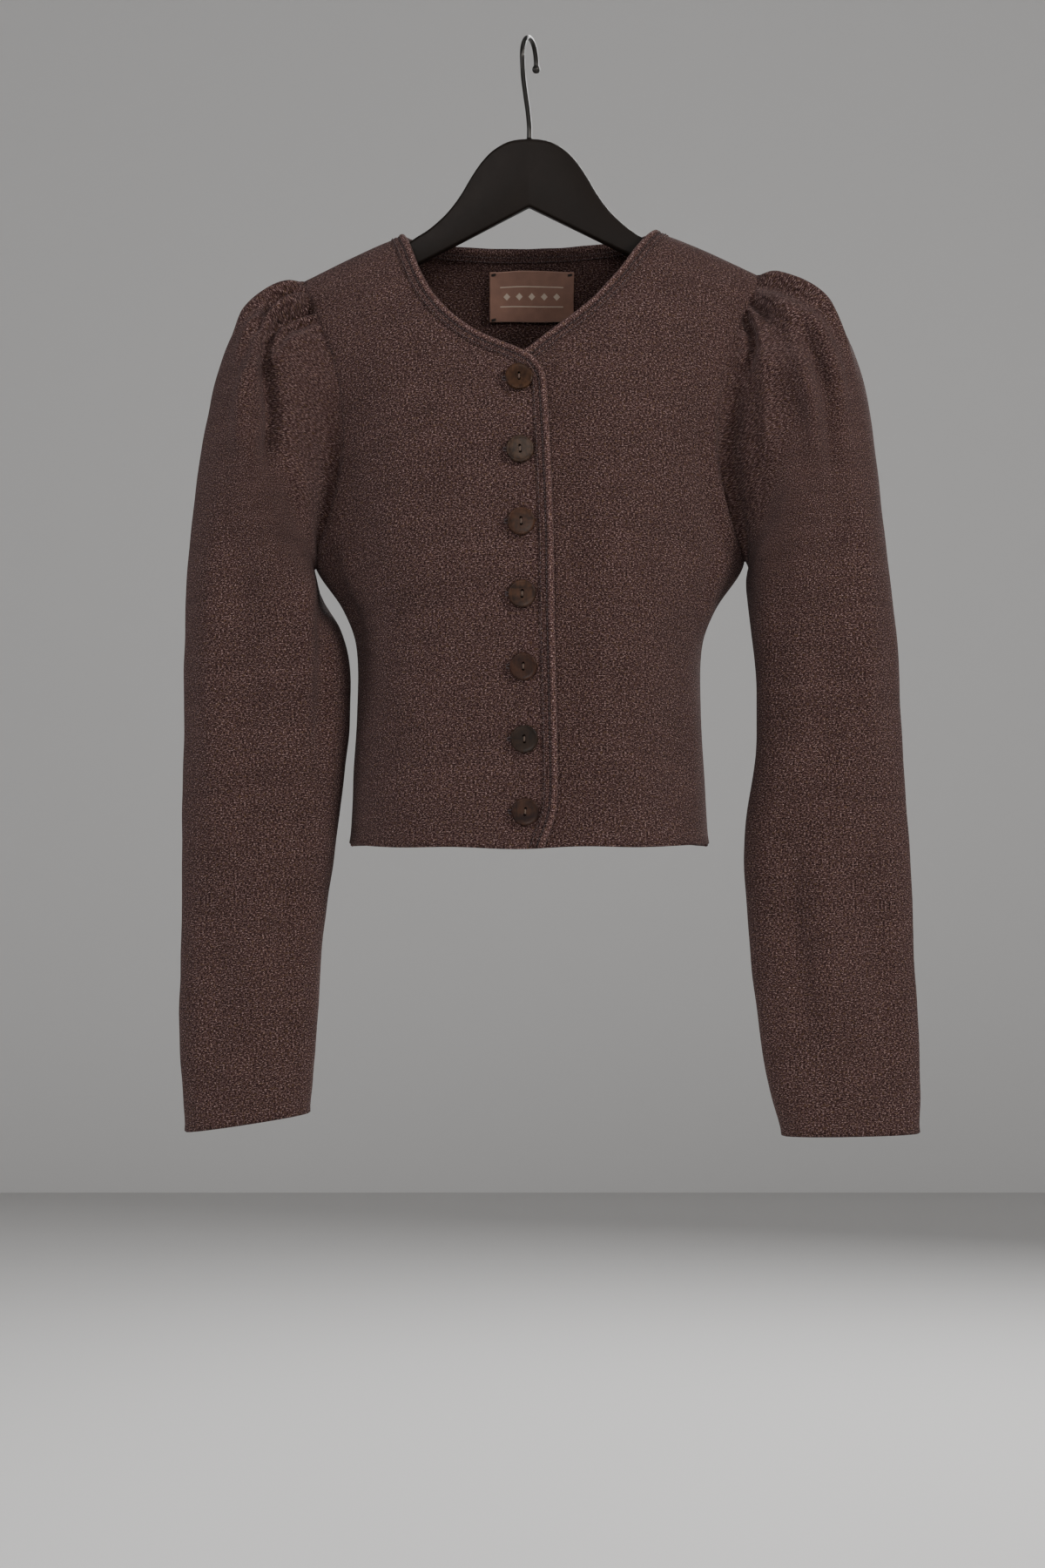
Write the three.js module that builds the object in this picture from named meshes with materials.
// A short knitted cardigan with gathered sleeve heads, buttoned up and hanging on a flat wooden hanger.
// Millimetres, +Z up, -Y is the front, +X is the wearer's left. The origin is where a rail carries the hook.
import * as THREE from "three";

const V = (x, y, z) => new THREE.Vector3(x, y, z);
const DEG = Math.PI / 180;

// ---------- driving dimensions ----------
const CLOTH = 2.6; // thickness of the knitted cloth
const SEAM_GAP = 0.3; // space left between two pieces at a seam
const HEM_Z = -600; // height of the body's hem
const UNDERARM_Z = -392; // lowest point of the armholes
const SHOULDER = { tipAngle: 36, neckX: 94, neckZ: -139.5, slope: 0.5, soften: 24, roll: 0.0175 };
const RIDGE = 150; // how far below the shoulder line the chest reaches its full depth
const SQUARENESS = 2 / 2.4; // power that turns a circle into the body's squarer section
const FLARE_POWER = 6; // how closely the flare under the arm keeps to the side seam
const LAP = { underX: -18, from: 62, to: 26, depth: 5 }; // the right front lies on the left one
const BINDING = { width: 9.5, insideWidth: 7, backInside: 9.5, clear: 0.75, rise: 1.1, insideRise: 0.8, lip: 1.2,
  endX: 6, shortest: 7 };
const BUTTON = { count: 7, topZ: -260.5, bottomZ: -575, topX: -7.5, bottomX: -3, radius: 10, thickness: 3.2,
  bevel: 0.7, standOff: 0.5, overBinding: 2.3, holeRadius: 1.1, holeSpacing: 4.4, sides: 18, holeSides: 6 };
const LABEL = { width: 64, height: 36, topZ: -165, centreX: 2, thickness: 0.8, columns: 8, rows: 4 };
const WOOD = { thickness: 12, bevel: 2, armStartX: 90, armEndX: 160, armHeight: 20, endHeight: 15, clearance: 3,
  armStep: 10 };
const WIRE = { radius: 1.8, loop: 17, tipRadius: 2.9, turn: 18 };

// Body sections from the hem up. width: half width at the front's turn; flare: how far the side stands
// out past it; front, back: depth from the hanger's plane to the cloth's outer face.
const BODY = [
  { z: -610, width: 134, flare: 0, front: 95, back: 92 },
  { z: -560, width: 131, flare: 0, front: 94, back: 90 },
  { z: -500, width: 128, flare: 0, front: 93, back: 86 },
  { z: -452, width: 127, flare: 2, front: 93, back: 84 },
  { z: -425, width: 127, flare: 12, front: 93, back: 85 },
  { z: -392, width: 127, flare: 33, front: 92, back: 87 },
  { z: -350, width: 128, flare: 33, front: 90, back: 90 },
  { z: -311, width: 131, flare: 28, front: 86, back: 91 },
  { z: -270, width: 146, flare: 18, front: 79, back: 89 },
  { z: -230, width: 170, flare: 6, front: 70, back: 84 },
  { z: -178, width: 200, flare: 0, front: 58, back: 76 },
  { z: -130, width: 220, flare: 0, front: 54, back: 74 },
];

// The armhole. turn: 0 at the shoulder tip, 180 at the underarm; angle: how far round the body from its side.
const ARMHOLE = [
  { turn: 0, angle: 36 },
  { turn: 60, angle: 33 },
  { turn: 90, angle: 27 },
  { turn: 120, angle: 21 },
  { turn: 150, angle: 12 },
  { turn: 180, angle: 0 },
];

// Necklines from the neck point to the front edge, or to the back's middle. x: towards the piece's own side;
// drop: how far below the shoulder line.
const NECKLINE_RIGHT = [
  { x: 94, drop: 0 },
  { x: 89, drop: 12 },
  { x: 82, drop: 32 },
  { x: 73, drop: 50 },
  { x: 61, drop: 65.5 },
  { x: 47, drop: 78 },
  { x: 33, drop: 87 },
  { x: 19, drop: 93.5 },
  { x: 6, drop: 99.5 },
  { x: -4, drop: 107 },
  { x: -10.5, drop: 119 },
];
const NECKLINE_LEFT = [
  { x: 94, drop: 0 },
  { x: 86, drop: 9 },
  { x: 75, drop: 25 },
  { x: 66, drop: 38 },
  { x: 51, drop: 55.5 },
  { x: 35, drop: 70 },
  { x: 19, drop: 82 },
  { x: 4, drop: 94 },
  { x: -8, drop: 102 },
  { x: -18, drop: 107 },
];
const NECKLINE_BACK = [
  { x: 94, drop: 0 },
  { x: 84, drop: 4.5 },
  { x: 62, drop: 9 },
  { x: 31, drop: 12 },
  { x: 0, drop: 13 },
];

// The right front's edge below its neckline corner. x: towards the wearer's right.
const FRONT_EDGE = [
  { z: -600, x: -9 },
  { z: -586, x: -14.5 },
  { z: -573, x: -18 },
  { z: -550, x: -19 },
  { z: -429, x: -16.5 },
  { z: -366, x: -15.6 },
  { z: -303, x: -13.2 },
  { z: -275, x: -11.6 },
  { z: -258, x: -10.5 },
];

// Sleeve sections from the armhole to the cuff. s: place along the sleeve; outer, inner: the two edges
// that the front view shows; front, back: half depths from the section's middle, which is at y.
const SLEEVE_RIGHT = [
  { s: 0, outerX: 167, outerZ: -181, innerX: 159, innerZ: -392, y: 0, front: 42, back: 46 },
  { s: 1, outerX: 184, outerZ: -184, innerX: 162, innerZ: -391.5, y: -2, front: 50, back: 52 },
  { s: 2, outerX: 205, outerZ: -198, innerX: 163.5, innerZ: -393, y: -4, front: 55, back: 55 },
  { s: 3, outerX: 220, outerZ: -219, innerX: 164, innerZ: -397, y: -6, front: 58, back: 56 },
  { s: 4, outerX: 232, outerZ: -250, innerX: 162, innerZ: -403, y: -8, front: 59, back: 56 },
  { s: 5, outerX: 240, outerZ: -288, innerX: 158.5, innerZ: -410, y: -9, front: 58, back: 54 },
  { s: 6, outerX: 247, outerZ: -336, innerX: 152, innerZ: -420, y: -10, front: 55, back: 51 },
  { s: 7, outerX: 254, outerZ: -392, innerX: 140.5, innerZ: -440, y: -12, front: 51, back: 46 },
  { s: 8, outerX: 256, outerZ: -450, innerX: 133.5, innerZ: -472, y: -14, front: 47, back: 41 },
  { s: 9, outerX: 257, outerZ: -520, innerX: 135, innerZ: -528, y: -16, front: 41, back: 35 },
  { s: 10, outerX: 257, outerZ: -600, innerX: 144, innerZ: -600, y: -19, front: 34, back: 29 },
  { s: 11, outerX: 258, outerZ: -680, innerX: 152.5, innerZ: -674, y: -22, front: 29, back: 25 },
  { s: 12, outerX: 257.5, outerZ: -750, innerX: 157, innerZ: -738, y: -25, front: 26, back: 23 },
  { s: 13, outerX: 254, outerZ: -811, innerX: 162.5, innerZ: -797, y: -27, front: 24, back: 22 },
];
const SLEEVE_LEFT = [
  { s: 0, outerX: 167, outerZ: -181, innerX: 159, innerZ: -392, y: 0, front: 42, back: 46 },
  { s: 1, outerX: 187, outerZ: -178, innerX: 162, innerZ: -391.5, y: -2, front: 50, back: 52 },
  { s: 2, outerX: 211, outerZ: -189, innerX: 163.5, innerZ: -393, y: -4, front: 55, back: 55 },
  { s: 3, outerX: 229, outerZ: -211, innerX: 164, innerZ: -397, y: -6, front: 58, back: 56 },
  { s: 4, outerX: 244, outerZ: -242, innerX: 162, innerZ: -403, y: -8, front: 59, back: 56 },
  { s: 5, outerX: 254, outerZ: -284, innerX: 162, innerZ: -410, y: -9, front: 57, back: 54 },
  { s: 6, outerX: 261, outerZ: -336, innerX: 163, innerZ: -420, y: -10, front: 54, back: 50 },
  { s: 7, outerX: 267, outerZ: -394, innerX: 165, innerZ: -442, y: -12, front: 49, back: 44 },
  { s: 8, outerX: 273, outerZ: -456, innerX: 169, innerZ: -478, y: -14, front: 43, back: 38 },
  { s: 9, outerX: 277, outerZ: -524, innerX: 168, innerZ: -530, y: -17, front: 36, back: 33 },
  { s: 10, outerX: 282, outerZ: -600, innerX: 160, innerZ: -592, y: -20, front: 29, back: 26 },
  { s: 11, outerX: 286, outerZ: -680, innerX: 163, innerZ: -676, y: -23, front: 25, back: 22 },
  { s: 12, outerX: 289, outerZ: -750, innerX: 172, innerZ: -748, y: -26, front: 22, back: 20 },
  { s: 13, outerX: 288, outerZ: -812, innerX: 187, innerZ: -814, y: -28, front: 21, back: 19 },
];

// Gathers of the sleeve heads. turn: where round the head, 0 on top and + to the front; width: half width
// in degrees; rise: height; peak: s where it is highest; reach: how far along it runs; lean: turn per s.
const GATHERS_RIGHT = [
  { turn: -78, width: 12, rise: 5, peak: 1.4, reach: 3.2, lean: -2 },
  { turn: -54, width: 12, rise: 6, peak: 1.5, reach: 3.6, lean: -1 },
  { turn: -30, width: 11, rise: 7, peak: 1.4, reach: 3.4, lean: 0 },
  { turn: -8, width: 10, rise: 7, peak: 1.3, reach: 3.0, lean: 1 },
  { turn: 13, width: 9, rise: 8, peak: 1.4, reach: 3.4, lean: 3 },
  { turn: 33, width: 9, rise: 8, peak: 1.5, reach: 3.6, lean: 4 },
  { turn: 58, width: 12, rise: 7, peak: 2.2, reach: 5.5, lean: 4 },
];
const GATHERS_LEFT = [
  { turn: -76, width: 12, rise: 5, peak: 1.4, reach: 3.4, lean: -2 },
  { turn: -52, width: 12, rise: 6, peak: 1.5, reach: 3.6, lean: -1 },
  { turn: -29, width: 11, rise: 7, peak: 1.4, reach: 3.2, lean: 0 },
  { turn: -6, width: 10, rise: 8, peak: 1.3, reach: 3.2, lean: 1 },
  { turn: 17, width: 10, rise: 9, peak: 1.5, reach: 4.4, lean: 4 },
  { turn: 42, width: 12, rise: 8, peak: 1.9, reach: 5.5, lean: 5 },
  { turn: 70, width: 12, rise: 5, peak: 2.2, reach: 4.5, lean: 3 },
];

// The wooden hanger's upper edge, from its middle to where the arms start.
const HANGER_TOP = [
  [0, -74],
  [14.5, -76],
  [26.5, -82.5],
  [35, -91],
  [43, -102.5],
  [51, -116],
  [59.5, -127.5],
  [68, -136],
  [76, -142.5],
  [84, -147.5],
];
const HANGER_APEX_Z = -125; // its lower edge in the middle

// ---------- small helpers ----------
const mix = (a, b, t) => a + (b - a) * t;
const clamp = (v, low, high) => Math.min(high, Math.max(low, v));
const smooth = (v) => {
  const t = clamp(v, 0, 1);
  return t * t * (3 - 2 * t);
};
const power = (v, p) => Math.sign(v) * Math.abs(v) ** p;

// Reads one column of a table at any place of its key column, along a smooth curve through the rows.
function read(table, key, at, column) {
  const rising = table[table.length - 1][key] > table[0][key];
  const rows = rising ? table : [...table].reverse();
  let i = 0;
  while (i < rows.length - 2 && rows[i + 1][key] < at) i += 1;
  const slope = (k) => {
    const a = rows[Math.max(k - 1, 0)];
    const b = rows[Math.min(k + 1, rows.length - 1)];
    return (b[column] - a[column]) / (b[key] - a[key]);
  };
  const [p, q] = [rows[i], rows[i + 1]];
  const span = q[key] - p[key];
  const t = clamp((at - p[key]) / span, 0, 1);
  const [t2, t3] = [t * t, t * t * t];
  return (
    (2 * t3 - 3 * t2 + 1) * p[column] +
    (t3 - 2 * t2 + t) * span * slope(i) +
    (3 * t2 - 2 * t3) * q[column] +
    (t3 - t2) * span * slope(i + 1)
  );
}

// A closed mesh from points and triangles, with its faces turned outwards.
function closedGeometry(points, triangles) {
  let volume = 0;
  for (const [a, b, c] of triangles) {
    volume += points[a].dot(V(0, 0, 0).crossVectors(points[b], points[c]));
  }
  const order = volume < 0 ? ([a, b, c]) => [a, c, b] : (t) => t;
  return new THREE.BufferGeometry()
    .setAttribute("position", new THREE.Float32BufferAttribute(points.flatMap((p) => p.toArray()), 3))
    .setIndex(triangles.map(order).flat());
}

// A wall between two grids of points of the same shape. round: the columns close on themselves.
function wallGeometry(outer, inner, round) {
  const rows = outer.length;
  const columns = outer[0].length;
  const points = [...outer.flat(), ...inner.flat()];
  const triangles = [];
  const at = (layer, r, c) => layer * rows * columns + r * columns + (c % columns);
  const quad = (a, b, c, d) => triangles.push([a, b, c], [a, c, d]);
  const across = round ? columns : columns - 1;
  for (let r = 0; r < rows - 1; r += 1) {
    for (let c = 0; c < across; c += 1) {
      quad(at(0, r, c), at(0, r, c + 1), at(0, r + 1, c + 1), at(0, r + 1, c));
      quad(at(1, r, c), at(1, r + 1, c), at(1, r + 1, c + 1), at(1, r, c + 1));
    }
    if (!round) {
      quad(at(0, r, 0), at(0, r + 1, 0), at(1, r + 1, 0), at(1, r, 0));
      quad(at(0, r, across), at(1, r, across), at(1, r + 1, across), at(0, r + 1, across));
    }
  }
  for (let c = 0; c < across; c += 1) {
    quad(at(0, 0, c), at(1, 0, c), at(1, 0, c + 1), at(0, 0, c + 1));
    quad(at(0, rows - 1, c), at(0, rows - 1, c + 1), at(1, rows - 1, c + 1), at(1, rows - 1, c));
  }
  return closedGeometry(points, triangles);
}

// A bar through closed sections, with a flat cap at each end. outline: the section drawn flat.
function barGeometry(sections, outline) {
  const sides = outline.length;
  const last = (sections.length - 1) * sides;
  const triangles = [];
  for (let r = 0; r < sections.length - 1; r += 1) {
    for (let c = 0; c < sides; c += 1) {
      const [a, b] = [r * sides + c, r * sides + ((c + 1) % sides)];
      triangles.push([a, b, b + sides], [a, b + sides, a + sides]);
    }
  }
  const turnsLeft = !THREE.ShapeUtils.isClockWise(outline);
  for (const [a, b, c] of THREE.ShapeUtils.triangulateShape(outline, [])) {
    const [p, q] = turnsLeft ? [b, c] : [c, b];
    triangles.push([a, q, p], [last + a, last + p, last + q]);
  }
  return closedGeometry(sections.flat(), triangles);
}

// ---------- the body's form ----------
// Height of the shoulder line over any x. It runs on level across the neck.
function shoulderZ(x) {
  const beyond = Math.abs(x) - SHOULDER.neckX;
  const run = (beyond + Math.hypot(beyond, SHOULDER.soften)) / 2;
  return SHOULDER.neckZ - SHOULDER.slope * run + SHOULDER.roll * x;
}

// How much of its full depth the body has at a drop below the shoulder line: a quarter ellipse.
function ridgeShare(drop) {
  const part = clamp(drop / RIDGE, 0, 1);
  return Math.sqrt(1 - (1 - part) ** 2);
}

// A point of the outer face. side: 1 left, -1 right; face: -1 front, 1 back; angle: 0 at that side's seam,
// 90 in the middle, 180 at the other side's seam.
function bodyPoint(side, face, angle, z) {
  const [c, s] = [Math.cos(angle * DEG), Math.sin(angle * DEG)];
  const turn = read(BODY, "z", z, "width") * power(c, SQUARENESS);
  const x = side * (turn + read(BODY, "z", z, "flare") * power(c, FLARE_POWER));
  const depth = read(BODY, "z", z, face < 0 ? "front" : "back") * power(Math.max(s, 0), SQUARENESS);
  return V(x, face * (SEAM_GAP / 2 + depth * ridgeShare(shoulderZ(x) - z)), z);
}

// The outward normal there, from small steps along the surface.
function bodyNormal(side, face, angle, z) {
  const [da, dz] = [0.5, 0.5];
  const across = bodyPoint(side, face, angle + da, z).sub(bodyPoint(side, face, Math.max(angle - da, 0), z));
  const up = bodyPoint(side, face, angle, z + dz).sub(bodyPoint(side, face, angle, z - dz));
  return across.cross(up).multiplyScalar(side * face).normalize();
}

// The angle at which the body's front or back passes over x, towards its own side.
function angleAt(x, z) {
  const share = power(x / read(BODY, "z", z, "width"), 1 / SQUARENESS);
  return Math.acos(clamp(share, -1, 1)) / DEG;
}

// The shoulder tip's place: where the armhole's top meets the shoulder line.
function shoulderTip(side) {
  let z = UNDERARM_Z / 2;
  for (let i = 0; i < 12; i += 1) z = shoulderZ(bodyPoint(side, 1, ARMHOLE[0].angle, z).x);
  return z;
}

// Angle and height of the armhole at a turn from 0, the shoulder tip, to 180, the underarm.
function armhole(side, turn) {
  const tip = shoulderTip(side);
  const z = mix(UNDERARM_Z, tip, (1 + Math.cos(turn * DEG)) / 2);
  return [read(ARMHOLE, "turn", turn, "angle"), z];
}

// ---------- panels ----------
// The armhole's corners, from the underarm up. They crowd on top, where the cloth turns over the shoulder.
const ARMHOLE_TURNS = [180, 165, 150, 135, 120, 105, 90, 75, 60, 45, 30, 15, 10, 5, 0];
const SIDE_ROWS = 5; // rows of a panel below the underarm
const rowCount = SIDE_ROWS + ARMHOLE_TURNS.length - 1;

// A panel's outer edge: up the side seam, then up the armhole.
function outerEdge(side, row) {
  if (row <= SIDE_ROWS) return [0, mix(HEM_Z, UNDERARM_Z, row / SIDE_ROWS)];
  return armhole(side, ARMHOLE_TURNS[row - SIDE_ROWS]);
}

// A panel's grid of [angle, z], blended between its four edges. The rows keep the outer edge's heights,
// and where even(u) is 1 they are spread evenly instead.
function blendEdges(columns, { hem, top, near, far, even }) {
  const corners = [hem(0), hem(1), top(0), top(1)];
  return Array.from({ length: rowCount + 1 }, (_, j) => {
    const n = near(j);
    const level = (n[1] - HEM_Z) / (near(rowCount)[1] - HEM_Z);
    return Array.from({ length: columns + 1 }, (_unused, i) => {
      const u = i / columns;
      const v = mix(level, 1 - (1 - j / rowCount) ** 1.3, even(u));
      const [b, t, f] = [hem(u), top(u), far(v, j)];
      return [0, 1].map((k) => {
        const edges = mix(n[k], f[k], u) + mix(b[k], t[k], v);
        const corner = mix(mix(corners[0][k], corners[1][k], u), mix(corners[2][k], corners[3][k], u), v);
        return edges - corner;
      });
    });
  });
}

// A point of a neckline or shoulder seam as [angle, z], from its x and its drop.
function fromDrop(side, x, drop) {
  const z = shoulderZ(side * x) - drop;
  return [angleAt(x, z), z];
}

// A panel's top edge: along the shoulder seam for the first part of u, then round the neckline.
function topEdge(side, neckline, seamShare, u) {
  const tipZ = shoulderTip(side);
  const tipX = side * bodyPoint(side, 1, ARMHOLE[0].angle, tipZ).x;
  if (u <= seamShare) return fromDrop(side, mix(tipX, SHOULDER.neckX, u / seamShare), 0);
  // The columns crowd towards the neck point, where the cloth turns over the shoulder line.
  const place = ((u - seamShare) / (1 - seamShare)) ** 1.8 * (neckline.length - 1);
  const keyed = neckline.map((row, i) => ({ ...row, place: i }));
  return fromDrop(side, read(keyed, "place", place, "x"), read(keyed, "place", place, "drop"));
}

// How far the left front lies inwards, under the right front.
const underLap = (x) => LAP.depth * smooth((LAP.from - x) / (LAP.from - LAP.to));

// A panel's wall from its [angle, z] grid. onSeam: says which places lie on a side or shoulder seam.
function panelWall(side, face, grid, onSeam, under) {
  const outer = [];
  const inner = [];
  grid.forEach((row, j) => {
    const made = row.map(([angle, z], i) => {
      const point = bodyPoint(side, face, angle, z);
      const normal = bodyNormal(side, face, angle, z);
      if (onSeam(i, j)) normal.setY(0).normalize();
      if (under) point.y += underLap(point.x);
      return [point, point.clone().addScaledVector(normal, -CLOTH)];
    });
    outer.push(made.map(([p]) => p));
    inner.push(made.map(([, q]) => q));
  });
  return wallGeometry(outer, inner, false);
}

const FRONT_COLUMNS = { seam: 6, neck: 14 };
const frontColumns = FRONT_COLUMNS.seam + FRONT_COLUMNS.neck;
const frontSeam = (i, j) => (i === 0 && j <= SIDE_ROWS) || (j === rowCount && i <= FRONT_COLUMNS.seam);

function frontPanel(side) {
  const isLeft = side > 0;
  const neckline = isLeft ? NECKLINE_LEFT : NECKLINE_RIGHT;
  const top = (u) => topEdge(side, neckline, FRONT_COLUMNS.seam / frontColumns, u);
  const corner = top(1);
  const edgeX = (z) => (isLeft ? LAP.underX : read(FRONT_EDGE, "z", z, "x"));
  const far = (v) => {
    const z = mix(HEM_Z, corner[1], v);
    return v === 1 ? corner : [angleAt(edgeX(z), z), z];
  };
  const hem = (u) => [far(0)[0] * u, HEM_Z];
  const even = (u) => smooth((u - 0.4) / 0.6);
  const grid = blendEdges(frontColumns, { hem, top, near: (row) => outerEdge(side, row), far, even });
  return { grid, geometry: panelWall(side, -1, grid, frontSeam, isLeft) };
}

const BACK_COLUMNS = { seam: 6, halfNeck: 8 };
const backColumns = 2 * (BACK_COLUMNS.seam + BACK_COLUMNS.halfNeck);

function backPanel() {
  const seamShare = BACK_COLUMNS.seam / (BACK_COLUMNS.seam + BACK_COLUMNS.halfNeck);
  // The far half mirrors the near one, with its own shoulder.
  const other = ([angle, z]) => [180 - angle, z];
  const top = (u) => {
    if (u <= 0.5) return topEdge(-1, NECKLINE_BACK, seamShare, 2 * u);
    return other(topEdge(1, NECKLINE_BACK, seamShare, 2 * (1 - u)));
  };
  const grid = blendEdges(backColumns, {
    hem: (u) => [180 * u, HEM_Z],
    top,
    near: (row) => outerEdge(-1, row),
    far: (v, row) => other(outerEdge(1, row)),
    even: () => 0,
  });
  const onSeam = (i, j) => {
    const fromSide = Math.min(i, backColumns - i);
    return (fromSide === 0 && j <= SIDE_ROWS) || (j === rowCount && fromSide <= BACK_COLUMNS.seam);
  };
  return { grid, geometry: panelWall(-1, 1, grid, onSeam, false) };
}

// ---------- sleeves ----------
const SLEEVE_COLUMNS = { from: -90, to: 90, head: 36, below: 12 };
const SLEEVE_RINGS = [0, 0.35, 0.8, 1.3, 1.9, 2.7, 3.6, 4.8, 6, 7, 8, 9.3, 10.7, 12, 13];
const SLEEVE_BLEND = 2.4; // s at which the sleeve has its own section

// The turns of a sleeve's columns, crowded over the gathered head.
function sleeveTurns() {
  const { from, to, head, below } = SLEEVE_COLUMNS;
  const over = Array.from({ length: head }, (_, i) => mix(from, to, i / head));
  const under = Array.from({ length: below }, (_, i) => mix(to, from + 360, i / below));
  return [...over, ...under];
}

// A corner of a panel's armhole edge, its normal, and the way off the panel along its surface.
function armholeCorner(side, face, turn) {
  const [angle, z] = armhole(side, turn);
  const point = bodyPoint(side, face, angle, z);
  const normal = bodyNormal(side, face, angle, z);
  const atSeam = turn === 0 || turn === 180;
  if (atSeam) normal.setY(0).normalize();
  const step = turn > 178 ? -2 : 2;
  const [nextAngle, nextZ] = armhole(side, turn + step);
  const along = atSeam ? V(0, 1, 0) : bodyPoint(side, face, nextAngle, nextZ).sub(point);
  const off = along.cross(normal).normalize();
  const wrongWay = turn < 150 ? off.x * side < 0 : off.z < 0;
  return { point, normal, off: wrongWay ? off.negate() : off };
}

// The same at any turn, 0 to 180 on the front and 180 to 360 on the back, along the panel's straight edges.
function armholeEdge(side, turn) {
  const round = turn > 180 ? turn - 360 : turn;
  const face = round >= 0 ? -1 : 1;
  const next = Math.max(ARMHOLE_TURNS.findIndex((corner) => corner <= Math.abs(round)), 1);
  const [high, low] = [ARMHOLE_TURNS[next - 1], ARMHOLE_TURNS[next]];
  const [a, b] = [high, low].map((corner) => armholeCorner(side, face, corner));
  for (const key of ["point", "normal", "off"]) a[key].lerp(b[key], (high - Math.abs(round)) / (high - low));
  return a;
}

// A point of the sleeve's own tube, before its gathers.
function sleeveTube(side, table, s, turn) {
  const at = (column) => read(table, "s", s, column);
  const [c, sn] = [Math.cos(turn * DEG), Math.sin(turn * DEG)];
  const share = (1 + power(c, 0.9)) / 2;
  const depth = sn >= 0 ? -at("front") : at("back");
  return V(
    side * mix(at("innerX"), at("outerX"), share),
    at("y") + depth * Math.abs(sn) ** 0.9,
    mix(at("innerZ"), at("outerZ"), share),
  );
}

// How far the gathers lift the cloth at a place of the sleeve.
function gatherRise(gathers, s, turn) {
  const round = turn > 180 ? turn - 360 : turn;
  return gathers.reduce((sum, { turn: middle, width, rise, peak, reach, lean }) => {
    const across = (round - middle - lean * (s - peak)) / width;
    if (Math.abs(across) >= 1) return sum;
    const along = s < peak ? smooth(s / peak) : smooth(1 - (s - peak) / (reach - peak + 1e-6));
    return sum + rise * along * Math.cos((across * Math.PI) / 2) ** 2;
  }, 0);
}

function sleeveWall(side, table, gathers) {
  const turns = sleeveTurns();
  const base = SLEEVE_RINGS.map((s) => turns.map((turn) => {
    const edge = armholeEdge(side, turn);
    const start = edge.point.addScaledVector(edge.off, SEAM_GAP + 0.05 + 5 * Math.min(s, 1) * (s > 0 ? 1 : 0));
    return start.lerp(sleeveTube(side, table, s, turn), s >= SLEEVE_BLEND ? 1 : smooth(s / SLEEVE_BLEND));
  }));
  const lifted = base.map((ring, r) => {
    const normals = gridNormals(base, r);
    return ring.map((p, c) => p.clone().addScaledVector(normals[c], gatherRise(gathers, SLEEVE_RINGS[r], turns[c])));
  });
  const inner = lifted.map((ring, r) => {
    const normals = gridNormals(lifted, r);
    return ring.map((p, c) => {
      const normal = r === 0 ? armholeEdge(side, turns[c]).normal : normals[c];
      return p.clone().addScaledVector(normal, -CLOTH);
    });
  });
  return wallGeometry(lifted, inner, true);
}

// Outward normals of one ring of a closed tube.
function gridNormals(rings, r) {
  const columns = rings[r].length;
  const [before, after] = [rings[Math.max(r - 1, 0)], rings[Math.min(r + 1, rings.length - 1)]];
  const middle = rings[r].reduce((sum, p) => sum.add(p), V(0, 0, 0)).divideScalar(columns);
  const normals = rings[r].map((p, c) => {
    const round = rings[r][(c + 1) % columns].clone().sub(rings[r][(c + columns - 1) % columns]);
    return round.cross(after[c].clone().sub(before[c])).normalize();
  });
  const outwards = normals.reduce((sum, n, c) => sum + n.dot(rings[r][c].clone().sub(middle)), 0);
  return outwards < 0 ? normals.map((n) => n.negate()) : normals;
}

// ---------- bindings ----------
// The form as a function that is 0 on the outer face and grows outwards.
function formValue(face, p) {
  const share = Math.min(power(Math.abs(p.x) / read(BODY, "z", p.z, "width"), 1 / SQUARENESS), 1);
  const depth = read(BODY, "z", p.z, face < 0 ? "front" : "back") * Math.sqrt(1 - share * share) ** SQUARENESS;
  const part = Math.min((shoulderZ(p.x) - p.z) / RIDGE, 1);
  return ((face * p.y - SEAM_GAP / 2) / depth) ** 2 - (1 - (1 - part) ** 2);
}

// The nearest point of the form, and its outward normal.
function settle(face, from) {
  const point = from.clone();
  const normal = V(0, face, 0);
  for (let i = 0; i < 6; i += 1) {
    const slope = V(...[0, 1, 2].map((k) => {
      const [low, high] = [point.clone(), point.clone()];
      low.setComponent(k, low.getComponent(k) - 0.01);
      high.setComponent(k, high.getComponent(k) + 0.01);
      return (formValue(face, high) - formValue(face, low)) / 0.02;
    }));
    normal.copy(slope).normalize();
    point.addScaledVector(slope, -formValue(face, point) / slope.lengthSq());
  }
  return { point, normal };
}

// The binding's section: d away from the cloth's edge and onto the cloth, n outwards.
function bindingOutline(insideWidth) {
  const { width, clear, rise, insideRise, lip } = BINDING;
  const [top, under] = [clear + rise, -CLOTH - clear - insideRise];
  return [
    [width, clear],
    [width, top - 0.3],
    [width / 2, top],
    [-clear, top],
    [-clear - lip, clear],
    [-clear - lip, -CLOTH - clear],
    [-clear, under],
    [insideWidth / 2, under],
    [insideWidth, under],
    [insideWidth, -CLOTH - clear],
    [insideWidth / 2, -CLOTH - clear],
    [-clear, -CLOTH - clear],
    [-clear, clear],
    [width / 2, clear],
  ];
}

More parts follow.
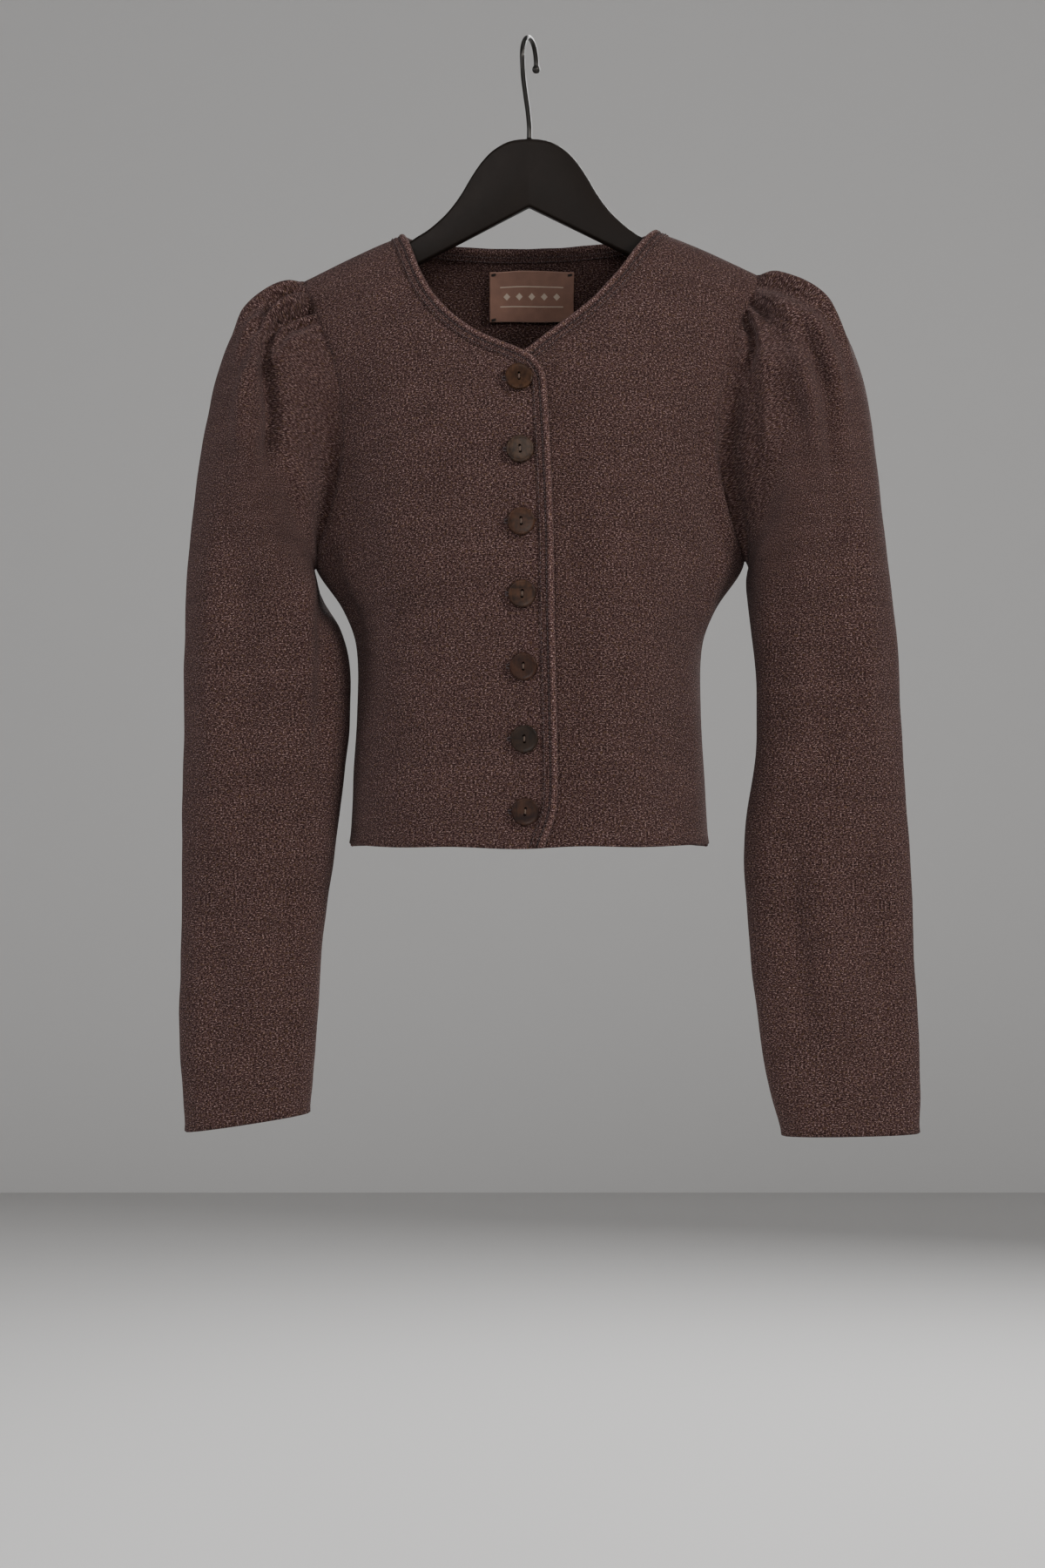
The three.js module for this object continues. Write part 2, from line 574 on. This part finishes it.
// A binding along stations [angle, z] of a panel's edge. turn: 1 or -1, the side the cloth lies on.
function bindingBar({ side, face, stations, turn, insideWidth, under, hemStart }) {
  const points = stations.map(([angle, z]) => bodyPoint(side, face, angle, z));
  const outline = bindingOutline(insideWidth).map(([d, n]) => new THREE.Vector2(d, n));
  const sections = points.map((point, i) => {
    const before = points[Math.max(i - 1, 0)];
    const after = points[Math.min(i + 1, points.length - 1)];
    const onSeam = Math.abs(point.y) < SEAM_GAP;
    const atHem = hemStart && i === 0;
    const chords = [point.clone().sub(before).normalize(), after.clone().sub(point).normalize()];
    const tangent = chords[0].add(chords[1]).normalize();
    if (onSeam) tangent.set(0, Math.sign(after.y - before.y), 0);
    if (atHem) tangent.set(0, 0, 1);
    const { normal } = settle(face, point);
    if (onSeam) normal.setY(0).normalize();
    const inwards = normal.clone().cross(tangent).multiplyScalar(turn).normalize();
    return outline.map(({ x: d, y: n }) => {
      const made = settle(face, point.clone().addScaledVector(inwards, d));
      const q = made.point.addScaledVector(made.normal, n);
      if (under) q.y += underLap(made.point.x);
      if (onSeam) q.y = (face * SEAM_GAP) / 2;
      if (atHem) q.z = HEM_Z;
      return q;
    });
  });
  return barGeometry(sections, outline);
}

// Drops stations that follow closely on the one before, but never the last.
function thin(side, face, stations) {
  const kept = [stations[0]];
  const gap = (a, b) => bodyPoint(side, face, ...a).distanceTo(bodyPoint(side, face, ...b));
  const last = stations[stations.length - 1];
  for (const station of stations.slice(1, -1)) {
    const clear = gap(station, kept[kept.length - 1]) >= BINDING.shortest;
    if (clear && gap(station, last) >= BINDING.shortest) kept.push(station);
  }
  return [...kept, last];
}

function bindings(rightGrid, leftGrid, backGrid) {
  const edge = thin(-1, -1, rightGrid.map((row) => row[frontColumns]));
  const neck = (grid, from) => grid[rowCount].slice(from).reverse();
  const right = [...edge, ...neck(rightGrid, FRONT_COLUMNS.seam).slice(1)];
  const visible = neck(leftGrid, FRONT_COLUMNS.seam)
    .filter(([angle, z]) => bodyPoint(1, -1, angle, z).x > BINDING.endX);
  const back = backGrid[rowCount].slice(BACK_COLUMNS.seam, backColumns - BACK_COLUMNS.seam + 1);
  return {
    right: bindingBar({ side: -1, face: -1, stations: right, turn: 1, insideWidth: BINDING.insideWidth,
      under: false, hemStart: true }),
    left: bindingBar({ side: 1, face: -1, stations: visible, turn: -1, insideWidth: BINDING.insideWidth,
      under: true, hemStart: false }),
    back: bindingBar({ side: -1, face: 1, stations: back, turn: 1, insideWidth: BINDING.backInside,
      under: false, hemStart: false }),
  };
}

// ---------- label, buttons, hanger ----------
function labelSheet() {
  const { width, height, topZ, centreX, thickness, columns, rows } = LABEL;
  const layer = (n) => Array.from({ length: rows + 1 }, (_, j) => Array.from({ length: columns + 1 }, (_u, i) => {
    const [x, z] = [centreX + width * (i / columns - 0.5), topZ - height * (j / rows)];
    const made = settle(1, bodyPoint(1, 1, angleAt(x, z), z));
    return made.point.addScaledVector(made.normal, -CLOTH - BINDING.clear - n);
  }));
  return wallGeometry(layer(0), layer(thickness), false);
}

// A round button with two holes, lying on the right front, which button i of the row closes.
function buttonGeometry(i) {
  const { radius, thickness, bevel, holeRadius, holeSpacing, sides, holeSides } = BUTTON;
  const circle = (r, count, cz) => Array.from({ length: count }, (_, k) => {
    const turn = (k / count) * 2 * Math.PI;
    return new THREE.Vector2(r * Math.cos(turn), cz + r * Math.sin(turn));
  });
  const rims = [[0, radius - bevel], [bevel, radius], [thickness - bevel, radius], [thickness, radius - bevel]];
  const holes = [-1, 1].map((k) => circle(holeRadius, holeSides, (k * holeSpacing) / 2));
  const down = i / (BUTTON.count - 1);
  const [x, z] = [mix(BUTTON.topX, BUTTON.bottomX, down), mix(BUTTON.topZ, BUTTON.bottomZ, down)];
  // The first lies partly on the binding, which curves in under it.
  const standOff = i === 0 ? BUTTON.overBinding : BUTTON.standOff;
  const { point, normal } = settle(-1, bodyPoint(-1, -1, angleAt(-x, z), z));
  const across = V(0, 0, 1).cross(normal).normalize();
  const up = normal.clone().cross(across);
  const place = (h, { x: a, y: b }) => point.clone().addScaledVector(normal, standOff + h)
    .addScaledVector(across, a).addScaledVector(up, b);
  const points = rims.flatMap(([h, r]) => circle(r, sides, 0).map((p) => place(h, p)));
  const triangles = [];
  const band = (from, to, count, flip) => {
    for (let k = 0; k < count; k += 1) {
      const next = (k + 1) % count;
      const quad = [[from + k, from + next, to + next], [from + k, to + next, to + k]];
      triangles.push(...quad.map(([a, b, c]) => (flip ? [a, c, b] : [a, b, c])));
    }
  };
  for (let k = 0; k < rims.length - 1; k += 1) band(k * sides, (k + 1) * sides, sides, false);
  const holeStart = points.length;
  for (const hole of holes) {
    const start = points.length;
    points.push(...hole.map((p) => place(0, p)), ...hole.map((p) => place(thickness, p)));
    band(start, start + holeSides, holeSides, true);
  }
  const faces = THREE.ShapeUtils.triangulateShape(circle(radius - bevel, sides, 0), holes.map((h) => [...h].reverse()));
  // triangulateShape numbers the rim first, then each hole in its reversed order.
  const index = (k, top) => {
    if (k < sides) return (top ? 3 * sides : 0) + k;
    const [hole, corner] = [Math.floor((k - sides) / holeSides), (k - sides) % holeSides];
    return holeStart + hole * 2 * holeSides + (top ? holeSides : 0) + (holeSides - 1 - corner);
  };
  for (const [a, b, c] of faces) {
    triangles.push([index(a, true), index(b, true), index(c, true)]);
    triangles.push([index(a, false), index(c, false), index(b, false)]);
  }
  return closedGeometry(points, triangles);
}

// The hanger's outline in the front view, from the right end of its upper edge round to the start.
function hangerOutline() {
  const armTop = (x) => shoulderZ(x) - CLOTH - WOOD.clearance;
  const xs = [];
  for (let x = WOOD.armStartX; x <= WOOD.armEndX; x += WOOD.armStep) xs.push(x);
  const height = (x) => mix(WOOD.armHeight, WOOD.endHeight, (x - WOOD.armStartX) / (WOOD.armEndX - WOOD.armStartX));
  const half = (side) => {
    const top = [...HANGER_TOP.map(([x, z]) => [side * x, z]), ...xs.map((x) => [side * x, armTop(side * x)])];
    const end = WOOD.armEndX;
    const [tipTop, tipUnder] = [armTop(side * end), armTop(side * end) - WOOD.endHeight];
    const round = [[side * (end + 4), mix(tipTop, tipUnder, 0.35)], [side * (end + 3), mix(tipTop, tipUnder, 0.75)]];
    const under = [...xs].reverse().map((x) => [side * x, armTop(side * x) - height(x)]);
    const rootZ = armTop(side * WOOD.armStartX) - height(WOOD.armStartX);
    const apex = [60, 30, 12, 4].map((x) => [side * x, mix(HANGER_APEX_Z, rootZ, x / WOOD.armStartX)]);
    return [...top, ...round, ...under, ...apex];
  };
  const right = half(1);
  const left = half(-1).slice(1).reverse();
  return [...right, [0, HANGER_APEX_Z - 1], ...left].map(([x, z]) => new THREE.Vector2(x, z));
}

function hangerWood() {
  const outline = hangerOutline();
  const count = outline.length;
  const turnsLeft = !THREE.ShapeUtils.isClockWise(outline);
  const inset = outline.map((p, i) => {
    const [before, after] = [outline[(i + count - 1) % count], outline[(i + 1) % count]];
    const way = after.clone().sub(p).normalize().add(p.clone().sub(before).normalize()).normalize();
    const inwards = turnsLeft ? new THREE.Vector2(-way.y, way.x) : new THREE.Vector2(way.y, -way.x);
    return p.clone().addScaledVector(inwards, WOOD.bevel);
  });
  const half = WOOD.thickness / 2;
  const layers = [[-half, inset], [WOOD.bevel - half, outline], [half - WOOD.bevel, outline], [half, inset]];
  return barGeometry(layers.map(([y, shape]) => shape.map((p) => V(p.x, y, p.y))), inset);
}

// The hook: a wire from the wood's top, leaning forwards and bent back over the rail, with a ball at its tip.
function hookWire() {
  const { radius, loop, tipRadius, turn } = WIRE;
  const centre = radius - loop; // height of the loop's centre
  const shank = new THREE.SplineCurve([[0, -73.6], [0, -64], [-3.2, -54], [-9, -42], [-14.6, -29], [-loop, centre]]
    .map(([a, z]) => new THREE.Vector2(a, z)));
  const line = shank.getPoints(10).slice(0, -1).map((p) => [p.x, p.y, radius]);
  for (let k = 0; k <= 12; k += 1) {
    const around = Math.PI * (1 - k / 12);
    line.push([loop * Math.cos(around), centre + loop * Math.sin(around), radius]);
  }
  const tip = [[0.8, radius], [1.6, 2.5], [3, tipRadius], [4.6, tipRadius], [6, 2.2], [6.6, 1.2]];
  line.push(...tip.map(([drop, r]) => [loop, centre - drop, r]));
  const sides = 10;
  const [ux, uy] = [Math.sin(turn * DEG), Math.cos(turn * DEG)];
  const flat = Array.from({ length: sides }, (_, k) => {
    const around = (k / sides) * 2 * Math.PI;
    return new THREE.Vector2(Math.cos(around), Math.sin(around));
  });
  const sections = line.map(([a, z, r], i) => {
    const [before, after] = [line[Math.max(i - 1, 0)], line[Math.min(i + 1, line.length - 1)]];
    const [da, dz] = [after[0] - before[0], after[1] - before[1]];
    const length = Math.hypot(da, dz);
    const across = V((-dz / length) * ux, (-dz / length) * uy, da / length);
    const level = V(-uy, ux, 0);
    return flat.map((p) => V(a * ux, a * uy, z).addScaledVector(across, r * p.x).addScaledVector(level, r * p.y));
  });
  return barGeometry(sections, flat);
}

// ---------- materials and the part ----------
const material = (color, roughness, metalness = 0) =>
  new THREE.MeshStandardMaterial({ color, roughness, metalness });
const MATERIALS = {
  knit: () => material(0x3d3236, 0.95),
  binding: () => material(0x40343a, 0.92),
  button: () => material(0x4a3526, 0.3),
  label: () => material(0x5a3c26, 0.5),
  wood: () => material(0x15110f, 0.45),
  wire: () => material(0x2a2826, 0.35, 0.9),
};

const part = new THREE.Group();
part.name = "cardigan_on_hanger";
function addPiece(name, slot, geometry) {
  const mesh = new THREE.Mesh(geometry, MATERIALS[slot]());
  mesh.name = name;
  mesh.material.name = slot;
  part.add(mesh);
}

const [frontRight, frontLeft, back] = [frontPanel(-1), frontPanel(1), backPanel()];
const bound = bindings(frontRight.grid, frontLeft.grid, back.grid);
addPiece("front_right", "knit", frontRight.geometry);
addPiece("front_left", "knit", frontLeft.geometry);
addPiece("back", "knit", back.geometry);
addPiece("sleeve_right", "knit", sleeveWall(-1, SLEEVE_RIGHT, GATHERS_RIGHT));
addPiece("sleeve_left", "knit", sleeveWall(1, SLEEVE_LEFT, GATHERS_LEFT));
addPiece("binding_front_right", "binding", bound.right);
addPiece("binding_front_left", "binding", bound.left);
addPiece("binding_back", "binding", bound.back);
addPiece("label", "label", labelSheet());
for (let i = 0; i < BUTTON.count; i += 1) addPiece(`button_${i + 1}`, "button", buttonGeometry(i));
addPiece("hanger_wood", "wood", hangerWood());
addPiece("hanger_hook", "wire", hookWire());

export default part;
